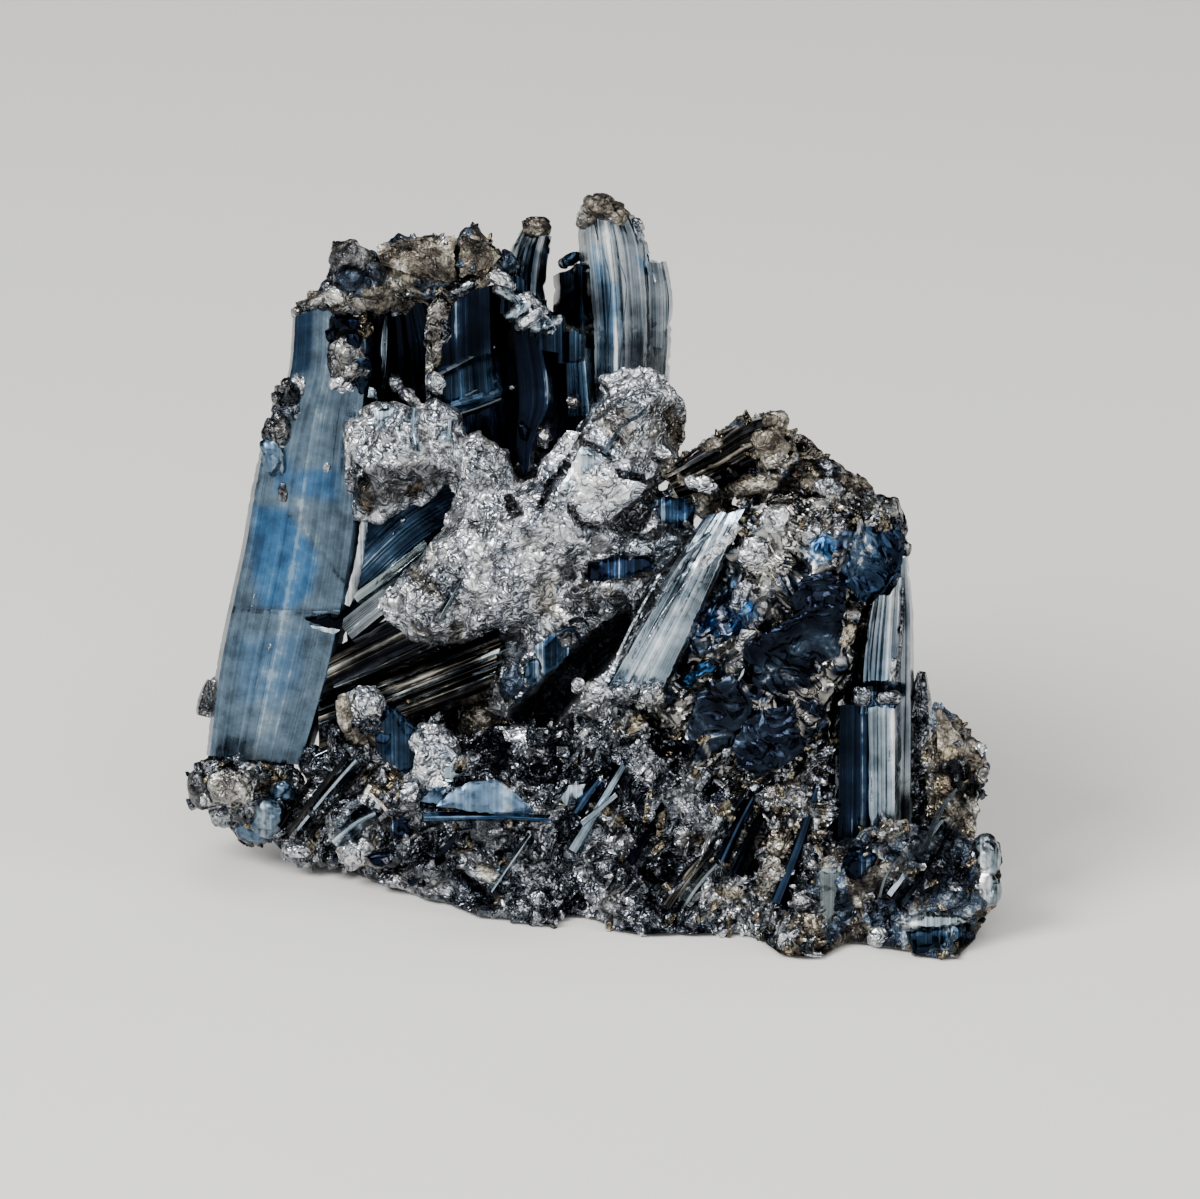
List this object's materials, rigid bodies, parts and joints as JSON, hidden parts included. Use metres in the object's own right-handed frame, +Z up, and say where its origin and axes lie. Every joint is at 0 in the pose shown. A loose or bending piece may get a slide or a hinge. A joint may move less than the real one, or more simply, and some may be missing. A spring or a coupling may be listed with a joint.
{
  "type": "mineral specimen",
  "caption": "Free-standing cluster of intergrown stibnite crystals: striated metallic blades and prisms fan from a bright crumpled core over a granular base.",
  "frame": {"origin": "bottom centre of the cluster's box, in the plane of the flat underside it rests on", "axes": "+Z up, +X to the right of the display face, -Y towards the viewer of the display face"},
  "size_m": [0.0694, 0.0354, 0.0604],
  "materials": {
    "steel_blue": "metallic lustre, blue tarnish on a striated face",
    "bright_silver": "bright metallic lustre, crumpled",
    "dark_navy": "mirror-like metallic lustre, near black",
    "column_grey": "metallic lustre, striated along the prism",
    "weathered_tan": "dull weathered crust",
    "grain_grey": "metallic lustre, granular"
  },
  "bodies": {
    "root": {"left_blade": "steel_blue", "bright_core": "bright_silver", "tall_column": "column_grey", "pale_blade": "column_grey", "right_columns": "column_grey", "striated_bundle": "column_grey", "dark_blades": "dark_navy", "crown_crust": "weathered_tan", "small_column": "column_grey", "back_crystal": "dark_navy", "wedge_blade": "dark_navy", "ridge_crystal": "weathered_tan", "right_block": "dark_navy", "corner_crystals": "grain_grey", "foot_knobs": "grain_grey", "granular_base": "grain_grey"}
  },
  "joints": []
}
